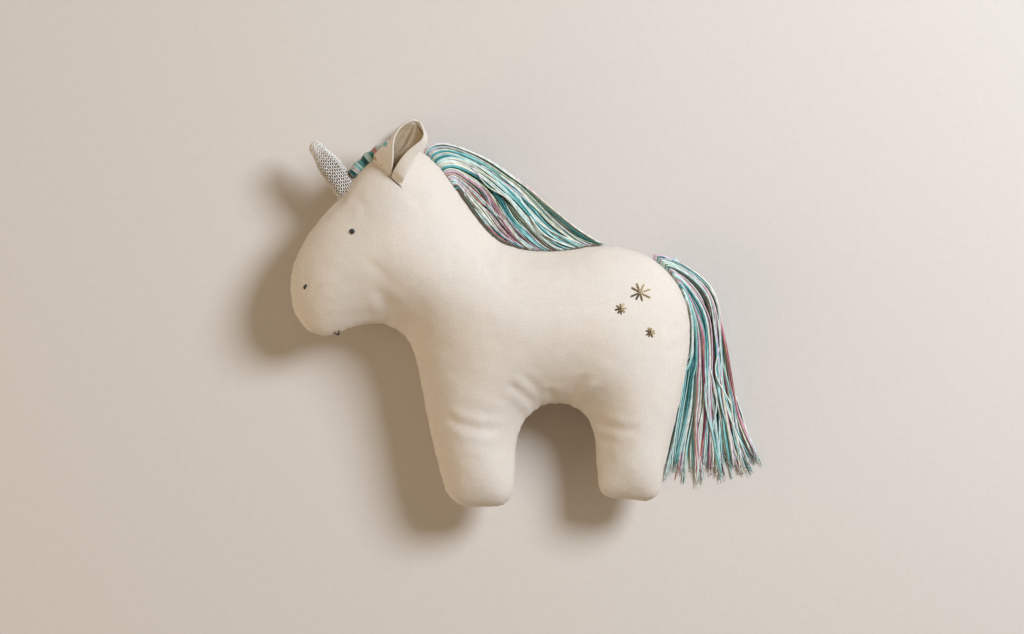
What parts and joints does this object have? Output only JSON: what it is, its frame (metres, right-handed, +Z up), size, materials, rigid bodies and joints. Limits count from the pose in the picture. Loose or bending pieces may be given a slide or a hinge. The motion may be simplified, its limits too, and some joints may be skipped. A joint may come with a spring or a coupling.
{
  "type": "plush unicorn",
  "caption": "Stuffed cotton unicorn lying on its side, with a knitted horn, lined ears, gold stars on the hip and a yarn mane and tail.",
  "frame": {"origin": "on the floor under the middle of the barrel, at the centre of the flattened patch that the toy lies on", "axes": "+X from nose to tail, +Y from feet to crest, +Z up from the floor to the toy's near side"},
  "size_m": [0.3927, 0.332, 0.0973],
  "materials": {
    "cotton": "brushed cotton, plain weave, matt",
    "linen": "tan linen weave, matt",
    "cotton_thread": "twisted sewing thread",
    "dark_thread": "dark embroidery thread",
    "gold_thread": "metallic embroidery thread, soft gloss",
    "gold_knit": "knitted cream and gold yarn with a fine metallic strand",
    "yarn": "variegated cotton yarn, teal, aqua, pink, raspberry and cream",
    "wadding": "white fibre filling"
  },
  "bodies": {
    "body": {"side_panel_near": "cotton", "side_panel_far": "cotton", "body_filling": "wadding", "closing_stitches": "cotton_thread", "eye_near": "dark_thread", "eye_far": "dark_thread", "nostril_near": "dark_thread", "nostril_far": "dark_thread", "mouth_stitch": "dark_thread", "star_large": "gold_thread", "star_medium": "gold_thread", "star_small": "gold_thread", "horn_stitches": "gold_knit", "ear_near_seam": "cotton_thread", "ear_far_seam": "cotton_thread", "forelock": "yarn", "mane_root": "yarn", "tail_root": "yarn"},
    "horn": {"horn_cover": "gold_knit", "horn_filling": "wadding"},
    "near_ear": {"ear_near": "cotton", "ear_near_lining": "linen"},
    "far_ear": {"ear_far": "cotton", "ear_far_lining": "linen"},
    "mane_binding": {"mane_whipping": "yarn"},
    "mane": {"mane_lock_1": "yarn", "mane_lock_2": "yarn", "mane_lock_3": "yarn", "mane_lock_4": "yarn", "mane_lock_5": "yarn", "mane_lock_6": "yarn", "mane_lock_7": "yarn", "mane_lock_8": "yarn"},
    "tail_binding": {"tail_whipping": "yarn"},
    "tail": {"tail_lock_1": "yarn", "tail_lock_2": "yarn", "tail_lock_3": "yarn", "tail_lock_4": "yarn", "tail_lock_5": "yarn", "tail_lock_6": "yarn", "tail_lock_7": "yarn", "tail_lock_8": "yarn"}
  },
  "joints": [
    {"name": "horn_tilt", "type": "hinge", "parent": "body", "child": "horn", "pos_m": [-0.18303, 0.11341, 0.046], "axis": [0, 0, 1], "range_deg": [-12, 12], "stiffness_Nm_per_rad": 0.01},
    {"name": "near_ear_flop", "type": "hinge", "parent": "body", "child": "near_ear", "pos_m": [-0.14615, 0.12425, 0.07539], "axis": [0.6123, -0.5443, 0.5735], "range_deg": [-10, 85], "stiffness_Nm_per_rad": 0.005},
    {"name": "far_ear_flop", "type": "hinge", "parent": "body", "child": "far_ear", "pos_m": [-0.14615, 0.12425, 0.01661], "axis": [-0.6123, 0.5443, 0.5735], "range_deg": [-10, 85], "stiffness_Nm_per_rad": 0.005},
    {"name": "mane_swing", "type": "hinge", "parent": "body", "child": "mane_binding", "pos_m": [-0.09806, 0.14092, 0.046], "axis": [0, 0, 1], "range_deg": [0, 40]},
    {"name": "mane_lift", "type": "hinge", "parent": "mane_binding", "child": "mane", "pos_m": [-0.09806, 0.14092, 0.046], "axis": [-0.5754, -0.8178, 0], "range_deg": [0, 90]},
    {"name": "tail_swing", "type": "hinge", "parent": "body", "child": "tail_binding", "pos_m": [0.09899, 0.04936, 0.046], "axis": [0, 0, 1], "range_deg": [0, 60]},
    {"name": "tail_lift", "type": "hinge", "parent": "tail_binding", "child": "tail", "pos_m": [0.09899, 0.04936, 0.046], "axis": [-0.9831, -0.1832, 0], "range_deg": [0, 90]}
  ]
}
